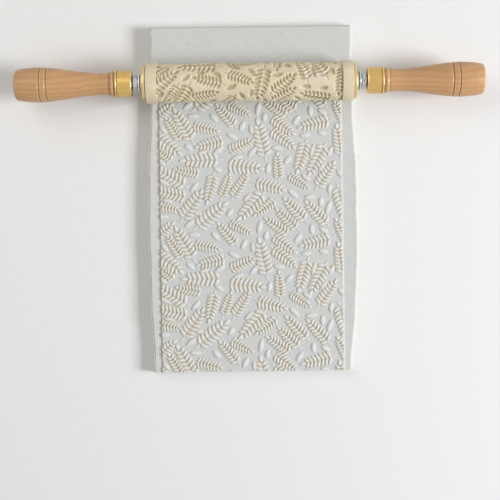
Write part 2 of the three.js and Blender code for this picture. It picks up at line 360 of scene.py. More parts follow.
@dataclass(frozen=True)
class TurnedMetal(Finish):
    """Lathe-turned metal: fine tool rings round the axis and a little dullness where it is handled."""

    colour: str = "C4C6C8"
    dull: str = "A9ABAD"
    worn: str = "DDDEDF"
    grime: str = "5C5A55"
    roughness: tuple[float, float] = (0.24, 0.5)
    grime_haze: float = 0.35
    patches_per_mm: float = 0.25
    # A finishing cut leaves rings about 0.1 mm apart, too fine to show, so they are drawn coarser.
    ring_mm: float = 0.16
    ring_height_mm: float = 0.006

    def build(self) -> Material:
        """Draws rings by X and the radius, so they run round barrels and round faces alike.

        Returns:
            The material.
        """
        add, place = self.start()
        parts = add("SeparateXYZ", {0: place}).node.outputs
        flat = add("CombineXYZ", {"Y": parts["Y"], "Z": parts["Z"]})
        radius = add("VectorMath", {0: flat}, operation="LENGTH")
        around = add("CombineXYZ", {"X": parts["X"], "Y": radius})
        tool = add("TexNoise", {"Vector": around, "Scale": per_mm(1 / self.ring_mm), "Detail": 2.0})
        handled = add("TexNoise", {
            "Vector": place, "Scale": per_mm(self.patches_per_mm), "Detail": 5.0, "Roughness": 0.6})
        wear, grime = wear_amounts(add, handled)
        haze = add("Math", {0: grime, 1: self.grime_haze, 2: handled}, operation="MULTIPLY_ADD")
        return self.shown(add, add("BsdfPrincipled", {
            "Base Color": layered(
                add, linear(self.colour), (handled, self.dull), (wear, self.worn), (grime, self.grime)),
            "Roughness": add("MapRange", {
                "Value": haze, "From Min": 0.3, "From Max": 0.9, "To Min": self.roughness[0],
                "To Max": self.roughness[1]}),
            "Normal": add("Bump", {
                "Height": tool, "Distance": self.ring_height_mm * MM, "Strength": 0.7}),
            "Metallic": 1.0}))


@dataclass(frozen=True)
class MouldedNylon(Finish):
    """Moulded natural nylon: milky, faintly waxy, with the fine grain of the tool."""

    colour: str = "EAE6DA"
    shade: str = "DDD7C6"
    roughness: float = 0.5
    clouds_per_mm: float = 0.3
    # The tool's grain is nearer to 0.05 mm, too fine to show, so it is drawn coarser.
    grain_mm: float = 0.3
    grain_height_mm: float = 0.008

    def build(self) -> Material:
        """Gives the milky colour a faint cloud and a fine moulded grain.

        Returns:
            The material.
        """
        add, place = self.start()
        cloud = add("TexNoise", {"Vector": place, "Scale": per_mm(self.clouds_per_mm), "Detail": 3.0})
        grain = add("TexNoise", {"Vector": place, "Scale": per_mm(1 / self.grain_mm), "Detail": 2.0})
        return self.shown(add, add("BsdfPrincipled", {
            "Base Color": layered(add, linear(self.colour), (cloud, self.shade)),
            "Roughness": self.roughness,
            "Normal": add("Bump", {
                "Height": grain, "Distance": self.grain_height_mm * MM, "Strength": 0.5}),
            "IOR": 1.53}))


@dataclass(frozen=True)
class RolledClay(Finish):
    """Soft pale clay, just rolled: dull, with fine specks, a few dark grains, painted warm shading round its
    print and a painted highlight on the print's tops.
    """

    body: str = "D0D1CD"
    # high is a painted highlight: the print's raised tops are drawn lighter and cooler, as the light would
    # show them.
    high: str = "DCE1E4"
    # warm is the colour of painted shading, laid round the print and along the strip's walls and edges.
    warm: str = "C8AF76"
    speck: str = "A8A08E"
    grog: str = "857A6C"
    speck_mm: float = 0.5
    speck_height_mm: float = 0.12
    grog_apart_mm: float = 5.5
    grog_reach_mm: float = 0.42
    roughness: float = 0.78

    def build(self) -> Material:
        """Paints a highlight on the print's tops by how high it stands and painted warm shading round it,
        then adds specks and dark grains.

        Returns:
            The material.
        """
        add, place = self.start()
        height, foot = (
            add("Attribute", {}, "Fac", attribute_name=attribute.value)
            for attribute in (Attribute.PRINT, Attribute.HOLLOW))
        specks = add("TexNoise", {
            "Vector": place, "Scale": per_mm(1 / self.speck_mm), "Detail": 3.0, "Roughness": 0.7})
        speckled = add("MapRange", {"Value": specks, "From Min": 0.56, "From Max": 0.78, "To Max": 0.5})
        cells = add("TexVoronoi", {"Vector": place, "Scale": per_mm(1 / self.grog_apart_mm)})
        near = self.grog_reach_mm / self.grog_apart_mm
        grains = add("MapRange", {"Value": cells, "From Min": near, "From Max": near / 3, "To Max": 0.75})
        # The print's height paints the highlight on its tops, and foot paints warm shade round them.
        return self.shown(add, add("BsdfPrincipled", {
            "Base Color": layered(
                add, linear(self.body), (height, self.high), (foot, self.warm),
                (speckled, self.speck), (grains, self.grog)),
            "Roughness": self.roughness,
            "Normal": add("Bump", {
                "Height": specks, "Distance": self.speck_height_mm * MM, "Strength": 0.5})}))


@dataclass(frozen=True)
class StudioPaper(Finish):
    """Plain pale paper for the floor, which melts into the pale backdrop well outside the work."""

    colour: str = "EFEEEB"
    backdrop: str = "F0F0EF"
    roughness: float = 0.9
    # The tooth of paper is finer than a millimetre, and it is drawn as coarse as it needs to show.
    tooth_per_mm: float = 0.8
    tooth_height_mm: float = 0.02
    clear_mm: tuple[float, float] = (280.0, 700.0)

    def build(self) -> Material:
        """Mixes a dull sheet with a barely seen tooth and, far out, the backdrop's glow.

        Returns:
            The material.
        """
        add, place = self.start()
        tooth = add("TexNoise", {"Vector": place, "Scale": per_mm(self.tooth_per_mm), "Detail": 2.0})
        sheet = add("BsdfPrincipled", {
            "Base Color": linear(self.colour), "Roughness": self.roughness,
            "Normal": add("Bump", {
                "Height": tooth, "Distance": self.tooth_height_mm * MM, "Strength": 0.2})})
        distance = add("VectorMath", {0: place}, operation="LENGTH")
        near, far = (limit * MM for limit in self.clear_mm)
        faded = add("MapRange", {
            "Value": distance, "From Min": near, "From Max": far}, interpolation_type="SMOOTHSTEP")
        amount = add("Math", {0: faded, 1: seen_rays(add)}, operation="MULTIPLY")
        glow = add("Emission", {"Color": linear(self.backdrop), "Strength": 1.0})
        return self.shown(add, add("MixShader", {0: amount, 1: sheet, 2: glow}))


def smooth_step(t: Grid) -> Grid:
    """The smooth rise 3t^2 - 2t^3 from 0 to 1, held flat outside."""
    held = np.clip(t, 0, 1)
    return held * held * (3 - 2 * held)


def bell(distance: Grid, width: float) -> Grid:
    """The bell curve exp(-(distance / width)^2)."""
    return np.exp(-(distance / width) ** 2)


def blurred(values: Grid, reach: int) -> Grid:
    """The mean of each place and its neighbours, taken twice along each direction.

    Args:
        values: a grid.
        reach: how many places to each side count.

    Returns:
        The blurred grid.
    """
    width = 2 * reach + 1
    for _ in range(4):
        total = np.cumsum(np.pad(values, [(reach + 1, reach), (0, 0)], mode="edge"), axis=0)
        values = ((total[width:] - total[:-width]) / width).T
    return values


def linked(name: str, data: bpy.types.ID) -> Object:
    """Makes an object of a mesh, a light or a camera and links it to the scene.

    Args:
        name: the object's name.
        data: the mesh, the light or the camera.

    Returns:
        The object.
    """
    thing = bpy.data.objects.new(name, data)
    bpy.context.scene.collection.objects.link(thing)
    return thing


def surface_mesh(
    name: str, points: Grid, wraps: tuple[bool, bool], shading: Shading,
    attributes: dict[Attribute, Grid] | None = None
) -> Object:
    """Makes one mesh object from a surface given as a grid of points.

    The face between grid place (i, j) and its next neighbours joins points (i, j), (i + 1, j),
    (i + 1, j + 1) and (i, j + 1). A direction that wraps also joins its last row to its first. Where
    only the columns wrap, the first and the last row lie on the axis, and points that are closer than
    WELD, in metres, become one.

    Args:
        name: the object's name.
        points: an array of shape (rows, columns, 3), in metres.
        wraps: whether the rows and the columns each close on themselves.
        shading: how sharp an edge must be to show.
        attributes: point attributes, each an array of shape (rows, columns).

    Returns:
        The linked object, with its place in its mesh.
    """
    index = np.arange(points[..., 0].size, dtype=np.int32).reshape(points.shape[:2])
    joined = np.pad(index, [(0, int(closed)) for closed in wraps], mode="wrap")
    quads = np.stack(
        [joined[:-1, :-1], joined[1:, :-1], joined[1:, 1:], joined[:-1, 1:]], axis=-1).reshape(-1, 4)
    mesh = bpy.data.meshes.new(name)
    mesh.vertices.add(index.size)
    mesh.vertices.foreach_set("co", points.astype(np.float32).ravel())
    mesh.loops.add(quads.size)
    mesh.loops.foreach_set("vertex_index", quads.ravel())
    mesh.polygons.add(len(quads))
    mesh.polygons.foreach_set("loop_start", np.arange(0, quads.size, 4, dtype=np.int32))
    mesh.update(calc_edges=True)
    mesh.validate()
    mesh.shade_smooth()
    mesh.set_sharp_from_angle(angle=shading.value)
    for attribute, values in (attributes or {}).items():
        layer = mesh.attributes.new(attribute.value, "FLOAT", "POINT")
        layer.data.foreach_set("value", values.astype(np.float32).ravel())
    if wraps == (False, True):
        cleaned = bmesh.new()
        cleaned.from_mesh(mesh)
        bmesh.ops.remove_doubles(cleaned, verts=cleaned.verts, dist=WELD)
        bmesh.ops.recalc_face_normals(cleaned, faces=cleaned.faces)
        cleaned.to_mesh(mesh)
        cleaned.free()
    return linked(name, mesh)


def filleted(outline: list[tuple[float, float]], rounds: tuple[float, ...], steps: int = 4) -> Grid:
    """Rounds the corners of a closed outline of X and radius.

    Each corner with a fillet is swapped for points of the quadratic curve that starts one fillet
    length before it, is pulled towards it and ends one fillet length after it.

    Args:
        outline: corners as (x, radius), in millimetres, in order.
        rounds: the fillet length at each corner, in millimetres, or 0 where it stays sharp.
        steps: how many steps each rounded corner takes.

    Returns:
        The rounded outline as an array of (x, radius), in millimetres.
    """
    corners = np.array(outline)
    rounded = []
    for at, (corner, fillet) in enumerate(zip(corners, rounds, strict=True)):
        before, after = corners[at - 1], corners[(at + 1) % len(corners)]
        if fillet <= 0:
            rounded.append(corner[None, :])
            continue
        first, last = (
            corner + fillet * ((other - corner) / np.linalg.norm(other - corner))
            for other in (before, after))
        t = np.linspace(0, 1, steps + 1)[:, None]
        rounded.append((1 - t) ** 2 * first + 2 * t * (1 - t) * corner + t ** 2 * last)
    return np.concatenate(rounded)


def turned_points(outline: Grid, sides: int, sign: int = 1) -> Grid:
    """Carries an outline round X: the point at angle a is (x, r sin a, r cos a).

    Args:
        outline: rows of x and one radius for the whole turn, or of x and a radius for each step of
            it, in millimetres, in the order that leaves the faces looking outwards.
        sides: steps of the turn.
        sign: 1 for the right end of the roller and -1 for the left, which is turned end for end.

    Returns:
        Points of shape (outline points, sides, 3), in metres.
    """
    angle = np.linspace(0, TURN, sides, endpoint=False)[None, :]
    x = np.repeat(outline[:, :1], sides, axis=1) * sign
    y = outline[:, 1:] * np.sin(angle) * sign
    z = outline[:, 1:] * np.cos(angle)
    return np.stack([x, y, z], axis=-1) * MM


def wear_and_grime(
    outline: Grid, reach_mm: float = 0.7, wear_gain: float = 2.4, grime_gain: float = 3.2
) -> tuple[Grid, Grid]:
    """How much each place of a closed outline stands out, where it wears, or lies in a corner.

    Each place is compared with the middle of its two neighbours at the reach along the outline. Its
    distance outwards from there, over the reach and times a gain, is its wear, or inwards its grime.

    Args:
        outline: an array of (x, radius), in millimetres.
        reach_mm: how far along the outline to look.
        wear_gain: the gain of the wear.
        grime_gain: the gain of the grime.

    Returns:
        The wear and the grime of each place, from 0 to 1.
    """
    closed = np.vstack([outline, outline[:1]])
    along = np.concatenate([[0.0], np.cumsum(np.linalg.norm(np.diff(closed, axis=0), axis=1))])
    neighbours = []
    for shift in (-reach_mm, reach_mm):
        at = (along[:-1] + shift) % along[-1]
        neighbours.append(np.stack([np.interp(at, along, closed[:, axis]) for axis in (0, 1)], axis=1))
    before, after = neighbours
    chord = after - before
    turn = np.sign(np.sum(closed[:-1, 0] * closed[1:, 1] - closed[1:, 0] * closed[:-1, 1]))
    outwards = turn * np.stack([chord[:, 1], -chord[:, 0]], axis=1)
    outwards /= np.maximum(np.linalg.norm(outwards, axis=1, keepdims=True), TINY)
    bulge = np.sum((outline - (before + after) / 2) * outwards, axis=1) / reach_mm
    return np.clip(wear_gain * bulge, 0, 1), np.clip(-grime_gain * bulge, 0, 1)


def cut_away(thing: Object, cutters: list[Object]) -> None:
    """Subtracts the cutters from a mesh object, then removes them.

    Args:
        thing: the object to cut.
        cutters: closed mesh objects.
    """
    for number, cutter in enumerate(cutters):
        cut = thing.modifiers.new(f"cut_{number}", "BOOLEAN")
        cut.operation, cut.solver, cut.object = "DIFFERENCE", "EXACT", cutter
    shaped = thing.evaluated_get(bpy.context.evaluated_depsgraph_get())
    mesh = bpy.data.meshes.new_from_object(shaped)
    thing.modifiers.clear()
    thing.data = mesh
    for cutter in cutters:
        bpy.data.objects.remove(cutter)
    mesh.shade_smooth()
    mesh.set_sharp_from_angle(angle=Shading.CRISP.value)


def span(node: str) -> tuple[float, float, float]:
    """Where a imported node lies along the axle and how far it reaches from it, in millimetres.

    Args:
        node: the node's name.

    Returns:
        Its near end and far end along X, counted outwards from the drum's centre, and the radius
        to its lowest flat.
    """
    low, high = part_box(node)
    ends = sorted((abs(low.x), abs(high.x)))
    return ends[0] / MM, ends[1] / MM, -low.z / MM


@dataclass(frozen=True)
class PunchMark:
    """A round mark punched into the outside of a turned piece, in millimetres and radians."""

    x: float
    angle: float
    depth: float = 0.42
    width: float = 0.62
    wall: float = 1.0
    grime: float = 0.8

    def fall(self, outline: Grid, sides: int) -> Grid:
        """How deep the mark is round each place of an outline: depth times exp(-(d / width)^2).

        Args:
            outline: an array of (x, radius).
            sides: steps of the turn.

        Returns:
            An array of shape (outline points, sides), which is zero inside the piece's wall.
        """
        turn = np.linspace(0, TURN, sides, endpoint=False)[None, :] - self.angle
        around = outline[:, 1:] * ((turn + math.pi) % TURN - math.pi)
        away = np.hypot(outline[:, :1] - self.x, around)
        outside = outline[:, 1:] > outline[:, 1].max() - self.wall
        return np.where(outside, self.depth * bell(away, self.width), 0.0)


@dataclass
class Assembly:
    """What every sub-assembly has: the finishes of its pieces, by slot."""

    finishes: dict[Slot, Material]

    def dress(self, piece: Object, slot: Slot, body: Body, node: str) -> None:
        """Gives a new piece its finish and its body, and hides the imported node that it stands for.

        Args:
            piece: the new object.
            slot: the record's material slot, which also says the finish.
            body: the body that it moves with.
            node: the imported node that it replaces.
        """
        piece.data.materials.append(self.finishes[slot])
        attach(piece, body.value)
        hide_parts(node)
        LOG.info("%s stands for %s and rides on %s", piece.name, node, body.value)


@dataclass
class EndAssembly(Assembly):
    """A sub-assembly at one end of the roller, of pieces turned about X, in millimetres."""

    side: Side
    sides: int = 128
    bore: float = 2.8
    seat_gap: float = 0.3

    def turned(self, stem: str, outline: Grid, marks: tuple[PunchMark, ...] = ()) -> Object:
        """Makes a turned piece from a closed outline, with its wear and its grime.

        Args:
            stem: the piece's name without its side.
            outline: an array of (x, radius), in millimetres.
            marks: marks punched into it, which also hold grime.

        Returns:
            The linked object.
        """
        wear, grime = (np.repeat(values[:, None], self.sides, axis=1) for values in wear_and_grime(outline))
        points = turned_points(outline, self.sides, self.side.value)
        for mark in marks:
            fall = mark.fall(outline, self.sides)
            points[..., 1:] *= 1 - (fall / outline[:, 1:])[..., None]
            grime = np.maximum(grime, mark.grime * (fall / mark.depth) ** 3)
        return surface_mesh(
            self.side.of(stem), points, (True, True), Shading.CRISP,
            {Attribute.WEAR: wear, Attribute.GRIME: grime})


@dataclass
class LeafDesign:
    """The design cut into the drum: sprigs of paired leaflets with loose leaflets between them.

    It is laid out on the unrolled band, where x runs along the drum and v round it. The draws and
    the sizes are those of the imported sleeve, so the fine surface and the solid have one design. Only
    the stalks, the bends, the last loose leaflets and their swell are found here alone.
    """

    band_mm: float = 100.0
    repeat_mm: float = 65.3
    depth_mm: float = 0.9
    sprig_limit: int = 40
    sprig_length_mm: float = 14.8
    sprig_spacing_mm: float = 5.2
    length_spread: float = 0.22
    pairs: int = 7
    leaflet_mm: tuple[float, float] = (3.8, 1.9)
    leaflet_turn: float = math.radians(74)
    growth_start: float = 0.42
    growth_span: float = 0.36
    tip_share: float = 0.85
    bend_share: float = 0.6
    loose_limit: int = 43
    loose_spacing_mm: float = 3.8
    loose_mm: tuple[float, float] = (5.4, 2.7)
    loose_swell: float = 1.12
    stalk_mm: tuple[float, float] = (2.4, 0.95)
    stalk_overlap: float = 0.5
    stalk_share: float = 0.55
    sprig_outline: float = 0.42
    loose_outline: float = 0.64
    dome_power: float = 0.6
    end_power: float = 0.2
    seed: int = 20271
    multiplier: int = 48271
    modulus: int = 2 ** 31 - 1
    attempts: int = 30000
    spine_points: int = 5
    cuts: list[tuple[Grid, float, float]] = field(init=False)

    def __post_init__(self) -> None:
        """Scatters the sprigs, then the loose leaflets, and lists what is cut.

        Each entry holds rows of leaflets or stalks, their share of the full depth and the power of
        their outline.
        """
        draws = self.draws()
        sprigs = self.scatter(
            draws, self.sprig_limit, self.sprig_length_mm, self.sprig_spacing_mm, np.zeros((0, 4)))
        loose = self.scatter(
            draws, self.loose_limit, self.loose_mm[0], self.loose_spacing_mm, sprigs)
        loose[:, 3] *= self.loose_swell
        plain = np.tile([self.loose_mm[1] * self.loose_swell, 0.0], (len(loose), 1))
        self.cuts = [
            (self.stalks(sprigs), self.stalk_share, self.sprig_outline),
            (self.sprig_leaflets(sprigs), 1.0, self.sprig_outline),
            (np.hstack([loose, plain]), 1.0, self.loose_outline)]
        LOG.info("design: %d sprigs and %d loose leaflets", len(sprigs), len(loose))

    def draws(self) -> Iterator[float]:
        """Draws from 0 to 1: each state is the last times the multiplier, less whole moduli.

        Returns:
            The draws, without end.
        """
        state = self.seed
        while True:
            state = (state * self.multiplier) % self.modulus
            yield state / self.modulus

    def spine(self, places: Grid) -> Grid:
        """Points along midribs, evenly from one end to the other.

        Args:
            places: rows of x, v, heading and length.

        Returns:
            Points of shape (midribs, points, 2).
        """
        along = (np.arange(self.spine_points) / (self.spine_points - 1) - 0.5) * places[:, 3:4]
        x = places[:, 0:1] + along * np.cos(places[:, 2:3])
        v = places[:, 1:2] + along * np.sin(places[:, 2:3])
        return np.stack([x, v], axis=-1)

    def scatter(
        self, draws: Iterator[float], limit: int, length: float, spacing: float, others: Grid
    ) -> Grid:
        """Throws midribs at random and keeps each one that stays clear of those before it.

        Args:
            draws: the draws.
            limit: how many to keep at most.
            length: their usual length.
            spacing: the least distance between the points of two midribs.
            others: midribs that were there before.

        Returns:
            The kept midribs, as rows of x, v, heading and length.
        """
        kept: list[list[float]] = []
        taken = self.spine(others).reshape(-1, 2)
        for _ in range(self.attempts):
            if len(kept) == limit:
                break
            x, v = (next(draws) - 0.5) * self.band_mm, next(draws) * self.repeat_mm
            heading = next(draws) * TURN
            row = [x, v, heading, length * (1 + self.length_spread * (2 * next(draws) - 1))]
            here = self.spine(np.array([row]))[0]
            apart = here[:, None, :] - taken[None, :, :]
            straight = np.abs(apart[..., 1]) % self.repeat_mm
            around = np.minimum(straight, self.repeat_mm - straight)
            if np.all(np.hypot(apart[..., 0], around) >= spacing):
                kept.append(row)
                taken = np.concatenate([taken, here])
        return np.array(kept)

    def sprig_leaflets(self, sprigs: Grid) -> Grid:
        """The leaflets of every sprig, in pairs along its midrib, and one at its tip.

        Pair i of n, from 0, stands at p = (i + 1/2) / n of the midrib and is sin(pi (s + t p)) of the
        full length, with s and t the growth's start and span.

        Args:
            sprigs: rows of x, v, heading and length.

        Returns:
            Rows of x, v, heading, length, width and bend, one for each leaflet.
        """
        place = (np.repeat(np.arange(self.pairs), 2) + 0.5) / self.pairs
        at = np.append(place - 0.5, 0.5)
        turn = np.append(np.tile([self.leaflet_turn, -self.leaflet_turn], self.pairs), 0.0)
        growth = np.sin(math.pi * (self.growth_start + self.growth_span * place))
        share = np.append(growth, self.tip_share)
        x, v, heading, length = (sprigs[:, column:column + 1] for column in range(4))
        scale = length / self.sprig_length_mm
        towards = heading + turn
        reach = self.leaflet_mm[0] * share * scale / 2
        along = at * length
        rows = np.stack([
            x + along * np.cos(heading) + reach * np.cos(towards),
            v + along * np.sin(heading) + reach * np.sin(towards),
            towards, 2 * reach, np.broadcast_to(self.leaflet_mm[1] * scale, reach.shape),
            np.broadcast_to(self.bend_share * np.sign(turn), reach.shape)], axis=-1)
        return rows.reshape(-1, 6)

    def stalks(self, sprigs: Grid) -> Grid:
        """A short stalk at the foot of each sprig, which also reaches into it by its overlap.

        Args:
            sprigs: rows of x, v, heading and length.

        Returns:
            Rows of x, v, heading, length, width and bend, one for each stalk.
        """
        x, v, heading, length = sprigs.T
        scale = length / self.sprig_length_mm
        stalk, width = self.stalk_mm
        back = length / 2 + stalk * scale * (1 - self.stalk_overlap) / 2
        return np.stack([
            x - back * np.cos(heading), v - back * np.sin(heading), heading,
            (1 + self.stalk_overlap) * stalk * scale, width * scale, np.zeros(len(x))], axis=-1)

    def relief(self, x_mm: Grid, v_mm: Grid) -> Grid:
        """How deep the design is at each place of a grid, as a share of its full depth.

        A leaflet is a plump lens: with p along it and q across it, both from -1 to 1, its outline is
        q = w(p) = (1 - p^2)^k, with k larger for a more pointed one, and its depth is
        (1 - (q / w)^2)^m (1 - p^2)^n, with m the dome's power and n the ends'. A bend b moves q by
        b ((p + 1)^2 / 4 - 1 / 4), towards the sprig's tip. A stalk is the same lens, thin and shallow.

        Args:
            x_mm: places along the drum.
            v_mm: places round the drum, of any turn.

        Returns:
            An array of shape (len(x_mm), len(v_mm)), from 0 to 1.
        """
        deepest = np.zeros((len(x_mm), len(v_mm)))
        for rows, share, point in self.cuts:
            for x, v, heading, length, width, bend in rows:
                around = (v_mm - v + self.repeat_mm / 2) % self.repeat_mm - self.repeat_mm / 2
                near_x = np.nonzero(np.abs(x_mm - x) < length / 2)[0]
                near_v = np.nonzero(np.abs(around) < length / 2)[0]
                dx, dv = np.meshgrid(x_mm[near_x] - x, around[near_v], indexing="ij")
                p = (dx * math.cos(heading) + dv * math.sin(heading)) / (length / 2)
                q = (dv * math.cos(heading) - dx * math.sin(heading)) / (width / 2)
                q = q + bend * ((p + 1) ** 2 - 1) / 4
                taper = np.clip(1 - p ** 2, 0, None)
                outline = np.maximum(taper ** point, TINY)
                dome = np.clip(1 - (q / outline) ** 2, 0, None) ** self.dome_power
                block = np.ix_(near_x, near_v)
                deepest[block] = np.maximum(deepest[block], share * dome * taper ** self.end_power)
        return deepest


@dataclass
class Drum(Assembly):
    """The turning drum: its engraved sleeve and its core, with a fitted end each side, in millimetres."""

    design: LeafDesign
    wall: float = 1.8
    rim_step: float = 0.6
    rounds: tuple[float, ...] = (0.0, 0.18, 0.5, 0.25, 0.0)
    grid: float = 0.28

    def build(self) -> None:
        """Makes the sleeve and both ends, and dresses the core, whose solid stays."""
        self.build_sleeve()
        for side in Side:
            DrumEnd(self.finishes, side).build()
        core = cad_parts["drum_core"].data
        core.materials.clear()
        core.materials.append(self.finishes[Slot.BEECH])
        LOG.info("drum_core keeps its solid")

    def build_sleeve(self) -> None:
        """Makes the sleeve: ground radius less the relief within the band, and plain rims outside.

        The point at angle a and radius r is (x, -r sin a, -r cos a).
        """
        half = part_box("texture_sleeve")[1].x / MM
        ground, band = self.design.repeat_mm / TURN, self.design.band_mm / 2
        rim, bore = ground + self.rim_step, ground - self.wall
        columns = round(self.design.repeat_mm / self.grid)
        across = np.linspace(-band, band, round(self.design.band_mm / self.grid) + 1)
        ring = TURN * np.arange(columns) / columns
        relief = self.soft_relief(across, ring * ground)
        # The corner that is dropped only leads the fillet of the mouth.
        end = filleted(
            [(band, ground), (band, rim), (half, rim), (half, bore), (0.0, bore)], self.rounds)[:-1]
        right_rows = np.repeat(end[:, None, :], columns, axis=1)
        left_rows = right_rows[::-1] * (-1, 1)
        band_rows = np.stack([
            np.repeat(across[:, None], columns, axis=1), ground - self.design.depth_mm * relief], axis=-1)
        profile = np.concatenate([left_rows[:-1], band_rows, right_rows[1:]])
        depth = np.pad(relief, ((len(end) - 1, len(end) - 1), (0, 0)))
        x, radius = profile[..., 0], profile[..., 1]
        points = np.stack([x, -radius * np.sin(ring), -radius * np.cos(ring)], axis=-1) * MM
        sleeve = surface_mesh(
            "engraved_sleeve", points, (True, True), Shading.SOFT, {Attribute.ENGRAVING: depth})
        self.dress(sleeve, Slot.RESIN, Body.DRUM, "texture_sleeve")

    def soft_relief(self, x_mm: Grid, v_mm: Grid) -> Grid:
        """The design's relief with its walls softened to what the sleeve's grid can carry.

        It is laid out twice as fine, and each place becomes 1/4, 1/2 and 1/4 of itself and its
        neighbours, twice along each direction.

        Args:
            x_mm: places along the drum.
            v_mm: places round the drum.

        Returns:
            The relief at each place, from 0 to 1.
        """
        fine_x = np.linspace(x_mm[0], x_mm[-1], 2 * len(x_mm) - 1)
        fine_v = np.arange(2 * len(v_mm)) * (v_mm[1] - v_mm[0]) / 2
        relief = self.design.relief(fine_x, fine_v)
        for axis in (0, 1, 0, 1):
            relief = (np.roll(relief, 1, axis) + 2 * relief + np.roll(relief, -1, axis)) / 4
        return relief[::2, ::2]


@dataclass
class DrumEnd(EndAssembly):
    """One end of the drum: its cap, its bush and the cap's screws, in millimetres."""

    cap_rounds: tuple[float, ...] = (0.0, 0.15, 0.55, 0.2)
    bush_radius: float = 4.2
    bush_rounds: tuple[float, ...] = (0.2, 0.3, 0.0, 0.2, 0.35, 0.25)
    flange_thickness: float = 1.0

    def build(self) -> None:
        """Makes the cap with a countersunk hole for each screw, the flanged bush and the screws."""
        screws = [
            CapScrew(self.finishes, self.side, number=place + 1)
            for place in range(len(CapScrew.slot_turns))]
        cap_node, bush_node = self.side.of("end_cap"), self.side.of("bush")
        start, end, radius = span(cap_node)
        hole = self.bush_radius + self.seat_gap
        cap = self.turned("turned_cap", filleted(
            [(start, hole), (start, radius), (end, radius), (end, hole)], self.cap_rounds))
        cut_away(cap, [screw.cutter() for screw in screws])
        self.dress(cap, Slot.BRASS, Body.DRUM, cap_node)
        start, end, radius = span(bush_node)
        back = end - self.flange_thickness
        bush = self.turned("moulded_bush", filleted([
            (start, self.bore), (start, self.bush_radius), (back, self.bush_radius), (back, radius),
            (end, radius), (end, self.bore)], self.bush_rounds))
        self.dress(bush, Slot.NYLON, Body.DRUM, bush_node)
        for screw in screws:
            screw.build()


@dataclass
class CapScrew(EndAssembly):
    """A countersunk wood screw in the drum's cap, in millimetres, made along X and then placed."""

    number: int = 1
    shank: float = 0.72
    point: float = 0.9
    rounds: tuple[float, ...] = (0.0, 0.1, 0.1, 0.05, 0.06, 0.0)
    head_depth: float = 0.8
    head_land: float = 0.12
    head_bevel: float = 0.08
    head_dish: float = 0.05
    worn_ring: float = 0.2
    worn: float = 0.8
    grimy_share: float = 1 / 3
    grimy: float = 0.3
    slot_depth: float = 0.42
    slot_width: float = 0.4
    slot_turns: tuple[float, ...] = (0.4, 2.1, 1.2)
    hole_fit: float = 0.1
    hole_depth: float = 3.0
    hole_flare: float = 0.02
    overrun: float = 1.0
    sides: int = 48
    place: Matrix = field(init=False)
    tip: float = field(init=False)
    face: float = field(init=False)
    head: float = field(init=False)

    def __post_init__(self) -> None:
        """Reads its sizes and its place from the first packed screw and the turn between them."""
        low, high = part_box(self.side.of("cap_screw") + "_1")
        self.tip, self.face = sorted((abs(low.x) / MM, abs(high.x) / MM))
        self.head = (high.y - low.y) / 2 / MM
        around = Matrix.Rotation(TURN * (self.number - 1) / len(self.slot_turns), 4, "X")
        self.place = around @ Matrix.Translation((0.0, 0.0, abs(low.z + high.z) / 2))
        if self.side is Side.LEFT:
            self.place = Matrix.Rotation(math.pi, 4, "Y") @ self.place

    def cutter(self) -> Object:
        """Makes the cutter for its countersunk hole: a straight bore under a cone, turned about X.

        Returns:
            A closed mesh object at the hole's place.
        """
        shank, mouth = self.shank + self.hole_fit, self.head + self.hole_fit
        floor, top = self.face - self.hole_depth, self.face + self.overrun
        outline = np.array([
            (floor, 0), (floor, shank), (self.face - self.head_depth - self.hole_fit, shank),
            (self.face + self.hole_flare, mouth), (top, mouth), (top, 0)])
        cutter = surface_mesh("countersink", turned_points(outline, self.sides), (False, True), Shading.CRISP)
        cutter.data.transform(self.place)
        return cutter

    def build(self) -> None:
        """Makes the screw: a turned form with a slot cut across its head."""
        face, head = self.face, self.head
        outline = filleted([
            (self.tip, 0.0), (self.tip + self.point, self.shank), (face - self.head_depth, self.shank),
            (face - self.head_land, head), (face, head - self.head_bevel),
            (face - self.head_dish, 0.0)], self.rounds)
        radius = np.repeat(outline[:, 1:], self.sides, axis=1)
        screw = surface_mesh(
            self.side.of("slotted_screw") + f"_{self.number}", turned_points(outline, self.sides),
            (False, True), Shading.CRISP, {
                Attribute.WEAR: (radius > head - self.worn_ring) * self.worn,
                Attribute.GRIME: (radius < head * self.grimy_share) * self.grimy})
        cube = bmesh.new()
        bmesh.ops.create_cube(cube, size=1.0)
        slot = linked("slot", bpy.data.meshes.new("slot"))
        cube.to_mesh(slot.data)
        cube.free()
        # The cutter is three head radii long, so that it clears the head.
        for step in (
                Matrix.Diagonal((2 * self.slot_depth * MM, 3 * head * MM, self.slot_width * MM, 1.0)),
                Matrix.Translation((face * MM, 0.0, 0.0)),
                Matrix.Rotation(self.slot_turns[self.number - 1] * self.side.value, 4, "X")):
            slot.data.transform(step)
        cut_away(screw, [slot])
        screw.data.transform(self.place)
        self.dress(screw, Slot.STEEL, Body.DRUM, self.side.of("cap_screw") + f"_{self.number}")


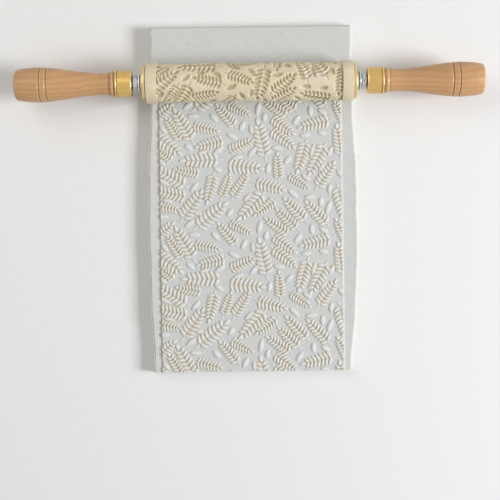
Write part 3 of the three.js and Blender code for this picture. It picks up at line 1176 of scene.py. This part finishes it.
@dataclass
class Axle(Assembly):
    """The steel rod through the roller, with a thread where each nut sits, in millimetres."""

    pitch: float = 0.8
    steps_a_pitch: int = 8
    thread_depth: float = 0.32
    thread_lengths: tuple[float, float] = (7.0, 10.0)
    thread_lead: float = 0.3
    bevel: float = 0.4
    sides: int = 48

    def build(self) -> None:
        """Makes the rod: radius R less a V thread of depth d where X is in a threaded stretch.

        The thread at angle a and place x has the depth d |2 frac(x / pitch - a / turn) - 1|, eased
        in at both ends of its stretch. The ends of the rod are bevelled.
        """
        _, end, radius = span("axle")
        inner = span("lock_nut_right")[0] - self.thread_lead
        stretches = ((inner, inner + self.thread_lengths[0]), (end - self.thread_lengths[1], end))
        x = np.unique(np.concatenate(
            [np.arange(first, last, self.pitch / self.steps_a_pitch) for first, last in stretches]
            + [np.array([0.0, inner, end - self.bevel, end])]))
        x = np.pad(np.concatenate([-x[:0:-1], x]), 1, mode="edge")[:, None]
        angle = np.linspace(0, TURN, self.sides, endpoint=False)
        depth = self.thread_depth * np.abs(2 * ((x / self.pitch - angle / TURN) % 1.0) - 1)
        eased = np.zeros_like(x)
        for first, last in stretches:
            inside = np.clip((np.abs(x) - first) / self.pitch, 0, 1)
            if last < end:
                inside = inside * np.clip((last - np.abs(x)) / self.pitch, 0, 1)
            eased = np.maximum(eased, inside)
        rows = radius - depth * eased - np.clip(np.abs(x) - (end - self.bevel), 0, None)
        rows[[0, -1]] = 0.0
        rod = surface_mesh(
            "threaded_axle", turned_points(np.hstack([x, rows]), self.sides), (False, True), Shading.CRISP)
        self.dress(rod, Slot.STEEL, Body.FRAME, "axle")


@dataclass
class Fixings(EndAssembly):
    """The washers and nuts on one end of the axle, in millimetres."""

    washer_rounds: tuple[float, ...] = (0.08, 0.1, 0.22, 0.08)
    across_flats: float = 8.0
    chamfer_turn: float = math.radians(30)
    face_share: float = 0.97
    thread_depth: float = 0.25
    thread_mouth: float = 0.3
    worn_radius_shares: tuple[float, float] = (0.955, 0.04)
    worn: float = 0.9
    rows: int = 25
    sides: int = 96

    def build(self) -> None:
        """Makes both washers, as rings with rounded edges, and both nuts."""
        for stem in ("thrust_washer", "end_washer"):
            start, end, radius = span(self.side.of(stem))
            washer = self.turned(f"stamped_{stem}", filleted(
                [(start, self.bore), (start, radius), (end, radius), (end, self.bore)], self.washer_rounds))
            self.dress(washer, Slot.STEEL, Body.FRAME, self.side.of(stem))
        self.build_nut("lock_nut", Slot.STEEL)
        self.build_nut("end_nut", Slot.BRASS)

    def build_nut(self, stem: str, slot: Slot) -> None:
        """Makes a hexagon nut as one surface of a place along its outline and an angle.

        The outside at angle a is the smaller of the hexagon's radius, flat / cos(a - nearest flat),
        and a cone that turns its corners off at both faces. The bore carries a V thread.

        Args:
            stem: the node's name without its side.
            slot: the slot of its metal.
        """
        start, end, _ = span(self.side.of(stem))
        flat = self.across_flats / 2
        corner = flat / math.cos(math.pi / 6)
        angle = np.linspace(0, TURN, self.sides, endpoint=False)
        hexagon = flat / np.cos((angle + math.pi / 6) % (math.pi / 3) - math.pi / 6)
        outside_x = np.linspace(start, end, self.rows)
        from_face = np.minimum(outside_x - start, end - outside_x)
        cone = flat * self.face_share + from_face / math.tan(self.chamfer_turn)
        outside = np.minimum(hexagon[None, :], np.minimum(cone, corner)[:, None])
        bore_x = np.linspace(end, start, round((end - start) / (Axle.pitch / Axle.steps_a_pitch)))
        phase = (bore_x[:, None] / Axle.pitch - angle[None, :] / TURN) % 1.0
        bore = self.bore - self.thread_depth * (1 - np.abs(2 * phase - 1))
        mouth = np.clip(self.thread_mouth - np.minimum(bore_x - start, end - bore_x), 0, None)[:, None]
        bore = np.maximum(bore, self.bore - self.thread_depth + mouth)
        radius = np.concatenate([outside, bore])
        outline = np.column_stack([np.concatenate([outside_x, bore_x]), radius])
        from_share, over_share = self.worn_radius_shares
        nut = surface_mesh(
            self.side.of(f"cut_{stem}"), turned_points(outline, self.sides, self.side.value), (True, True),
            Shading.CRISP, {
                Attribute.WEAR: smooth_step((radius / corner - from_share) / over_share) * self.worn})
        self.dress(nut, slot, Body.FRAME, self.side.of(stem))


@dataclass
class Handle(EndAssembly):
    """A turned beech handle and the brass ferrule on its tenon, in millimetres."""

    tenon: float = 5.9
    ferrule_wall: float = 0.9
    ferrule_lip: float = 1.0
    ferrule_roll: float = 0.4
    ferrule_rounds: tuple[float, ...] = (0.2, 0.15, 0.15, 0.75, 0.0)
    front_length: float = 3.0
    roll_gap: float = 0.1
    roll_steps: int = 12
    barrel_margins: tuple[float, float] = (1.0, 0.2)
    barrel_grid: float = 0.3
    punch_turns: tuple[float, float] = (-0.55, 2.59)
    punch_back: float = 0.4
    neck: float = 6.1
    swell: float = 9.2
    end_radius: float = 8.3
    end_round: float = 1.5
    end_steps: int = 8
    neck_share: float = 0.2
    swell_share: float = 0.68
    tail_share: float = 0.9
    grip_steps: int = 48
    bead_length: float = 2.8
    bead_height: float = 0.7
    bead_steps: int = 16
    groove_depth: float = 0.4
    groove_shares: tuple[float, ...] = (0.5, 0.56)
    groove_half_share: float = 0.009
    groove_steps: int = 8
    socket: float = 5.3
    socket_depth: float = 5.0
    inside_rounds: tuple[float, ...] = (0.25, 0.2, 0.1, 0.1, 0.4, 0.0)

    def build(self) -> None:
        """Makes the ferrule, then the handle.

        The handle's bead rises as half a sine wave and its end rounds off as a quarter circle.
        """
        seat = self.tenon + self.seat_gap
        self.build_ferrule(seat)
        node = self.side.of("handle")
        start, end, _ = span(node)
        shoulder = span(self.side.of("ferrule"))[1] + self.seat_gap
        share = np.linspace(0, 1, self.bead_steps + 1)[:-1]
        bead = np.column_stack([
            shoulder + share * self.bead_length, seat + self.bead_height * np.sin(math.pi * share)])
        round_start = end - self.end_round
        turn = np.linspace(0, math.pi / 2, self.end_steps + 1)[1:]
        rounding = np.column_stack([
            round_start + self.end_round * np.sin(turn),
            self.end_radius - self.end_round * (1 - np.cos(turn))])
        floor = end - self.socket_depth
        inside = filleted([
            (end, self.socket), (floor, self.socket), (floor, self.bore), (start, self.bore),
            (start, self.tenon), (shoulder, self.tenon)], self.inside_rounds)
        grip = self.grip(shoulder + self.bead_length, seat, round_start)
        handle = self.turned("turned_handle", np.concatenate([bead, grip, rounding, inside]))
        self.dress(handle, Slot.BEECH, Body.FRAME, node)

    def grip(self, start: float, start_radius: float, end: float) -> Grid:
        """The grip's outline: a Catmull-Rom curve through its stations, with V grooves turned in.

        Args:
            start: where it begins.
            start_radius: its radius there.
            end: where it ends.

        Returns:
            An array of (x, radius).
        """
        length = end - start
        stations = np.array([
            (start, start_radius), (start + self.neck_share * length, self.neck),
            (start + self.swell_share * length, self.swell),
            (start + self.tail_share * length, self.end_radius + self.end_round / 2),
            (end, self.end_radius)])
        spans = len(stations) - 1
        groove = self.groove_half_share * np.linspace(-1, 1, self.groove_steps + 1)
        share = np.unique(np.concatenate(
            [np.linspace(0, 1, self.grip_steps + 1)] + [middle + groove for middle in self.groove_shares]))
        at = np.minimum((share * spans).astype(int), spans - 1)
        t = (share * spans - at)[:, None]
        before, here = stations[np.maximum(at - 1, 0)], stations[at]
        there, after = stations[at + 1], stations[np.minimum(at + 2, spans)]
        leave, arrive = (there - before) / 2, (after - here) / 2
        curve = ((2 * here - 2 * there + leave + arrive) * t ** 3
                 + (3 * there - 3 * here - 2 * leave - arrive) * t ** 2 + leave * t + here)
        for middle in self.groove_shares:
            inside = np.clip(1 - np.abs(share - middle) / self.groove_half_share, 0, 1)
            curve[:, 1] -= self.groove_depth * inside
        return curve

    def build_ferrule(self, inner: float) -> None:
        """Makes the ferrule: a spun cup with a lip over the tenon's end and a half-round back bead.

        Args:
            inner: its inside radius.
        """
        node = self.side.of("ferrule")
        start, end, _ = span(node)
        outer, lip, roll = inner + self.ferrule_wall, start + self.ferrule_lip, self.ferrule_roll
        turn = np.linspace(0, math.pi, self.roll_steps + 1)
        bead = np.column_stack([
            end - roll - self.roll_gap - roll * np.cos(turn), outer + roll * np.sin(turn)])
        # The corner that is dropped only leads the fillets of its neighbours.
        front = filleted([
            (lip, inner), (lip, self.bore), (start, self.bore), (start, outer),
            (start + self.front_length, outer)], self.ferrule_rounds)[:-1]
        first, last = self.barrel_margins
        barrel = np.linspace(start + first, bead[0, 0] - last, round((end - start) / self.barrel_grid))
        outline = np.concatenate([
            front, np.column_stack([barrel, np.full(len(barrel), outer)]), bead,
            np.array([(end, outer), (end, inner)])])
        middle = (start + end) / 2 - self.punch_back
        marks = tuple(PunchMark(middle, turn * self.side.value) for turn in self.punch_turns)
        self.dress(self.turned("spun_ferrule", outline, marks), Slot.BRASS, Body.FRAME, node)


@dataclass(frozen=True)
class PaintedShadingLine:
    """A line of painted warm shading in the clay beside an edge or a wall, in millimetres."""

    strength: float
    place: float
    width: float

    def at(self, away: Grid) -> Grid:
        """Its shading at distances from that edge: strength exp(-((away - place) / width)^2)."""
        return self.strength * bell(away - self.place, self.width)


@dataclass
class ClayStrip:
    """The rolled clay under the drum, printed behind it and still thick before it, in millimetres.

    It is part of the stage. Heights are counted from the drum's axis.
    """

    design: LeafDesign
    rim_outside: float = 56.0
    table: float = -16.5
    unrolled: float = -9.2
    under_gap: float = 0.02
    lip: float = -10.8
    lip_lead: float = 0.5
    lip_rise: float = 3.0
    lip_blend: float = 1.2
    fill_share: float = 0.67
    near_end: float = -158.0
    far_end: float = 33.0
    step: float = 0.3
    border_columns: int = 40
    edge_rounds: tuple[float, float] = (0.45, 1.7)
    edge_share: float = 0.999
    bank_slopes: tuple[float, float] = (0.085, 0.012)
    bank_length: float = 6.0
    wall_soft: float = 0.7
    wall_wave: tuple[float, float, float] = (0.12, 7.3, 2.9)
    swell: tuple[float, float, float] = (0.05, 37.0, 29.0)
    swell_phase: float = 1.1
    ripple: tuple[float, float] = (0.03, 11.0)
    band_wave_share: float = 0.4
    band_end: float = 1.0
    nip: float = 1.5
    cut_rim: float = 0.03
    cut_fade: float = 0.6
    torn_mm: float = 1.3
    torn_soft: float = 0.35
    torn_contrast: float = 3.2
    torn_drop: float = 0.3
    left_edges: tuple[float, ...] = (-55.2, -55.5, -56.7, -57.2, -57.2, -56.9, -56.3, -55.2)
    right_edges: tuple[float, ...] = (57.0, 57.7, 59.0, 59.4, 59.4, 58.8, 57.5, 55.2)
    edge_margin: float = 8.0
    wander: tuple[tuple[float, float], ...] = ((0.12, 43.0), (0.06, 17.0), (0.02, 6.0))
    nick: float = 0.11
    nick_gain: float = 1.4
    nick_apart: float = 1.7
    nick_margin: float = 2.0
    # The leaves' painted shade weights a, b and c, and where that shade fades on their tops.
    leaf_warmth: tuple[float, float, float] = (3.0, 1.65, 0.42)
    leaf_tops: tuple[float, float] = (0.97, 0.35)
    # Painted warm shading lines: under the left and the right wall, along the torn left edge and inside the
    # right lip.
    wall_seams: tuple[PaintedShadingLine, PaintedShadingLine] = (PaintedShadingLine(0.6, 0.45, 0.35), PaintedShadingLine(0.08, 0.45, 0.35))
    torn_seam: PaintedShadingLine = PaintedShadingLine(0.3, 1.3, 0.3)
    torn_warmth: float = 0.14
    lip_seam: PaintedShadingLine = PaintedShadingLine(0.4, 1.3, 0.35)
    lip_seam_waves: tuple[float, float] = (31.0, 4.7)
    seed: int = 7
    x: Grid = field(init=False)
    y: Grid = field(init=False)
    left: Grid = field(init=False)
    right: Grid = field(init=False)
    relief: Grid = field(init=False)
    torn: Grid = field(init=False)

    def __post_init__(self) -> None:
        """Lays out the grid, the print's height on it, as a share, and how far the clay is torn.

        The grid is even across the band, and in the borders its columns crowd towards the edges.
        The clay is torn down along its left edge, in grains about half a millimetre wide.
        """
        along = np.arange(self.near_end, self.far_end + self.step / 2, self.step)
        band = self.design.band_mm / 2
        across = np.linspace(-band, band, round(self.design.band_mm / self.step) + 1)
        self.left, self.right = self.edges(along)
        ease = 1 - np.sin(np.linspace(0, math.pi / 2, self.border_columns))[:, None]
        self.x = np.concatenate([
            (self.left + (-band - self.left) * ease[::-1])[:-1],
            np.repeat(across[:, None], len(along), axis=1),
            (self.right - (self.right - band) * ease)[1:]])
        self.y = np.repeat(along[None, :], len(self.x), axis=0)
        border = self.border_columns - 1
        relief = np.pad(self.design.relief(across, -along), ((border, border), (0, 0)))
        self.relief = relief * np.clip(-self.y / self.nip, 0, 1)
        grains = blurred(np.random.default_rng(self.seed + 1).random(self.x.shape), 1)
        near = smooth_step((self.torn_mm - (self.x - self.left)) / self.torn_soft)
        self.torn = near * np.clip(1 + self.torn_contrast * (grains - 0.5), 0, 2)

    def build(self, material: Material) -> None:
        """Makes the strip with its walls down to the table.

        Args:
            material: the clay.
        """
        inside = np.clip((self.y - self.near_end) / self.cut_fade, 0, 1)
        # The print's height also paints the highlight on its tops, and the shading here is painted warm
        # shade.
        relief, painted_shading = (
            np.pad(values * inside, ((1, 1), (2, 2))) for values in (self.relief, self.painted_shading()))
        surface = np.stack([self.x, self.y, self.heights()], axis=-1)
        points = np.pad(surface, ((1, 1), (2, 2), (0, 0)), mode="edge")
        points[[0, -1], :, 2] = self.table
        points[:, [1, -2], 2] -= self.cut_rim
        points[:, [0, -1], 2] = self.table
        strip = surface_mesh(
            "clay_strip", points * MM, (False, False), Shading.SOFT,
            {Attribute.PRINT: relief, Attribute.HOLLOW: painted_shading})
        strip.data.materials.append(material)
        LOG.info("clay strip laid on the stage")

    def edges(self, y: Grid) -> tuple[Grid, Grid]:
        """The strip's two uneven edges: listed places along it, a small wander and nicks.

        The wander is a sum of sine waves, and the nicks are cubed random draws joined by lines.

        Args:
            y: places along the strip.

        Returns:
            The left and the right edge at each place.
        """
        draws = np.random.default_rng(self.seed)
        stops = np.linspace(self.near_end + self.edge_margin, 0.0, len(self.left_edges))
        knots = np.arange(self.near_end - self.nick_margin, self.far_end + self.nick_margin, self.nick_apart)
        edges = []
        for places in (self.left_edges, self.right_edges):
            phases = draws.uniform(0, TURN, len(self.wander))
            wander = sum(
                size * np.sin(TURN * y / length + phase)
                for (size, length), phase in zip(self.wander, phases))
            nicks = draws.uniform(-self.nick, self.nick, len(knots)) ** 3 / self.nick ** 2 * self.nick_gain
            edges.append(np.interp(y, stops, places[::-1]) + wander + np.interp(y, knots, nicks))
        return edges[0], edges[1]

    def painted_shading(self) -> Grid:
        """How much painted warm shading the clay gets: round the leaves, under both walls and along both
        edges.

        Round the leaves it is a H - b h - c, held from 0 to 1, with h the print's height, H that height
        blurred and a, b and c the leaves' shading weights, and it fades on their tops. Each wall and edge
        adds a painted shaded line.

        Returns:
            A share at each place, from 0 to about 1.
        """
        around, on, least = self.leaf_warmth
        top, soft = self.leaf_tops
        # Painted shade round the leaves, strongest where the print closes in, none on their tops.
        painted_shading = np.clip(blurred(self.relief, 2) * around - self.relief * on - least, 0, 1)
        painted_shading *= smooth_step((top - self.relief) / soft)
        printed = self.y < 0
        from_wall = np.abs(self.x) - self.design.band_mm / 2
        # Painted shade under the band's walls, strong under the left one.
        left_wall, right_wall = (seam.at(from_wall) for seam in self.wall_seams)
        painted_shading += np.where(self.x < 0, left_wall, right_wall) * printed
        # Painted shade along the torn left edge.
        painted_shading += (self.torn_warmth * self.torn + self.torn_seam.at(self.x - self.left)) * printed
        # A painted warm line inside the right lip.
        long, short = (np.sin(TURN * self.y / length) for length in self.lip_seam_waves)
        return painted_shading + self.lip_seam.at(self.right - self.x) * printed * (0.5 + 0.5 * long * short)

    def heights(self) -> Grid:
        """The clay's height: printed and pressed behind the drum, and thick before it.

        Behind the drum the band stands at the engraved ground, the borders at the rims and a lip
        outside the right one. Before it the clay is as low as the drum, -sqrt(R^2 - y^2), until it
        reaches the height that it had. Its edges round off as a quarter of an ellipse.

        Returns:
            The height at each place.
        """
        x, y, band = self.x, self.y, self.design.band_mm / 2
        ground = self.design.repeat_mm / TURN
        rim = ground + Drum.rim_step
        size, length, reach = self.wall_wave
        wall = band + self.wall_soft + size * np.sin(TURN * y / length) * np.sin(y / reach)
        in_band = smooth_step((wall - np.abs(x)) / self.wall_soft)
        outside = smooth_step((x - self.rim_outside + self.lip_lead) / self.lip_rise)
        radius = rim + (ground - rim) * in_band
        printed = -radius + self.relief * self.design.depth_mm * self.fill_share
        bank = np.where(x < 0, *self.bank_slopes) * np.clip(np.abs(x) - band, 0, None)
        printed = printed + bank * smooth_step(-y / self.bank_length) * (1 - in_band)
        printed = printed + (self.lip - printed) * outside
        under = -np.sqrt(np.clip(radius ** 2 - np.clip(y, 0, radius) ** 2, 0, None))
        before = np.minimum(self.unrolled, under - self.under_gap)
        before = before + (self.unrolled - before) * outside
        blend = smooth_step(y / self.lip_blend) * outside + (y > 0) * (1 - outside)
        top = printed * (1 - blend) + before * blend
        size, x_length, y_length = self.swell
        wave = size * np.sin(TURN * x / x_length + self.swell_phase) * np.sin(TURN * y / y_length)
        size, length = self.ripple
        wave = wave + size * np.sin(TURN * (x + y) / length)
        top = top + wave * (1 - in_band * (y < self.band_end)) + self.band_wave_share * wave
        top = top - self.torn_drop * self.torn
        left_round, right_round = self.edge_rounds
        left_share = (x - self.left) / left_round
        right_share = np.minimum(self.right - x, self.far_end - y) / right_round
        share = np.clip(np.minimum(left_share, right_share), 0, 1)
        return self.table + (top - self.table) * np.sqrt(1 - (1 - share) ** 2 * self.edge_share)


@dataclass(frozen=True)
class Lamp:
    """A square soft lamp: its place, its power, the side of its square and its sRGB colour."""

    name: str
    place_mm: tuple[float, float, float]
    watts: float
    size_mm: float
    colour: str

    def build(self, target: Vector) -> None:
        """Hangs the lamp and turns it towards a target.

        Args:
            target: the place that it lights, in metres.
        """
        light = bpy.data.lights.new(self.name, "AREA")
        light.energy, light.size = self.watts, self.size_mm * MM
        light.color = linear(self.colour)[:3]
        thing = linked(self.name, light)
        thing.location = Vector(self.place_mm) * MM
        thing.rotation_euler = (target - thing.location).to_track_quat("-Z", "Y").to_euler()


@dataclass
class Studio:
    """The pale floor, the soft lamps, the world and the camera."""

    design: LeafDesign
    image_px: int = 500
    band_px: float = 181.2
    band_middle_px: float = 251.9
    axle_row_px: float = 85.0
    lean: float = math.radians(0.8)
    camera_height_mm: float = 600.0
    sensor_mm: float = 36.0
    clip_m: tuple[float, float] = (0.01, 10.0)
    floor_mm: float = 5000.0
    lamps: tuple[Lamp, ...] = (
        Lamp("key_lamp", (1270.0, -250.0, 760.0), 21.0, 520.0, "FBFCFF"),
        Lamp("fill_lamp", (-500.0, 260.0, 620.0), 1.8, 600.0, "FFF9F0"))
    world_colour: str = "F2F5FA"
    world_level: float = 0.38

    def build(self, paper: Material) -> None:
        """Sets the stage round the roller, with a camera straight over the photograph's middle.

        Args:
            paper: the floor's material.
        """
        self.build_floor(paper)
        pixel = self.design.band_mm / self.band_px
        middle = self.image_px / 2
        x, y = (middle - self.band_middle_px) * pixel, (self.axle_row_px - middle) * pixel
        for lamp in self.lamps:
            lamp.build(Vector((0.0, y, 0.0)) * MM)
        self.build_world()
        camera = bpy.data.cameras.new("overhead")
        camera.sensor_width = self.sensor_mm
        camera.lens = self.sensor_mm * self.camera_height_mm / (self.image_px * pixel)
        camera.clip_start, camera.clip_end = self.clip_m
        thing = linked("overhead", camera)
        ground = -self.design.repeat_mm / TURN
        thing.location = Vector((x, y, ground + self.camera_height_mm)) * MM
        thing.rotation_euler = (0.0, 0.0, -self.lean)
        bpy.context.scene.camera = thing

    def build_floor(self, paper: Material) -> None:
        """Lays the floor, a flat square at the table's height.

        Args:
            paper: its material.
        """
        side = np.array([-1, 1]) * self.floor_mm / 2
        x, y = np.meshgrid(side, side, indexing="ij")
        points = np.stack([x, y, np.full(x.shape, ClayStrip.table)], axis=-1) * MM
        floor = surface_mesh("floor", points, (False, False), Shading.SOFT)
        floor.data.materials.append(paper)

    def build_world(self) -> None:
        """Gives the world an even pale light, and a paler face where it is seen."""
        world = bpy.data.worlds.new("studio")
        add = emptied(world)
        light = add("Background", {"Color": linear(self.world_colour), "Strength": self.world_level})
        backdrop = add("Background", {"Color": linear(StudioPaper.backdrop), "Strength": 1.0})
        add("OutputWorld", {"Surface": add("MixShader", {0: seen_rays(add), 1: light, 2: backdrop})})
        bpy.context.scene.world = world


def main() -> None:
    """Builds the stage and dresses the roller, one sub-assembly after another."""
    logging.basicConfig(level=logging.INFO, format="%(name)s: %(message)s")
    design = LeafDesign()
    brass = TurnedMetal(
        "turned_brass", colour="E2BF7C", dull="C8A55F", worn="F0D69C", grime="6E5427",
        roughness=(0.21, 0.47))
    finishes = {
        Slot.RESIN: CastResin("cast_ivory_resin").build(),
        Slot.BEECH: TurnedBeech("oiled_turned_beech").build(),
        Slot.STEEL: TurnedMetal("turned_steel").build(),
        Slot.BRASS: brass.build(),
        Slot.NYLON: MouldedNylon("moulded_nylon").build(),
    }
    Studio(design).build(StudioPaper("studio_paper").build())
    ClayStrip(design).build(RolledClay("rolled_clay").build())
    Drum(finishes, design).build()
    Axle(finishes).build()
    for side in Side:
        Fixings(finishes, side).build()
        Handle(finishes, side).build()
    bpy.context.scene.view_settings.view_transform = "Standard"


if __name__ == "__main__":
    main()
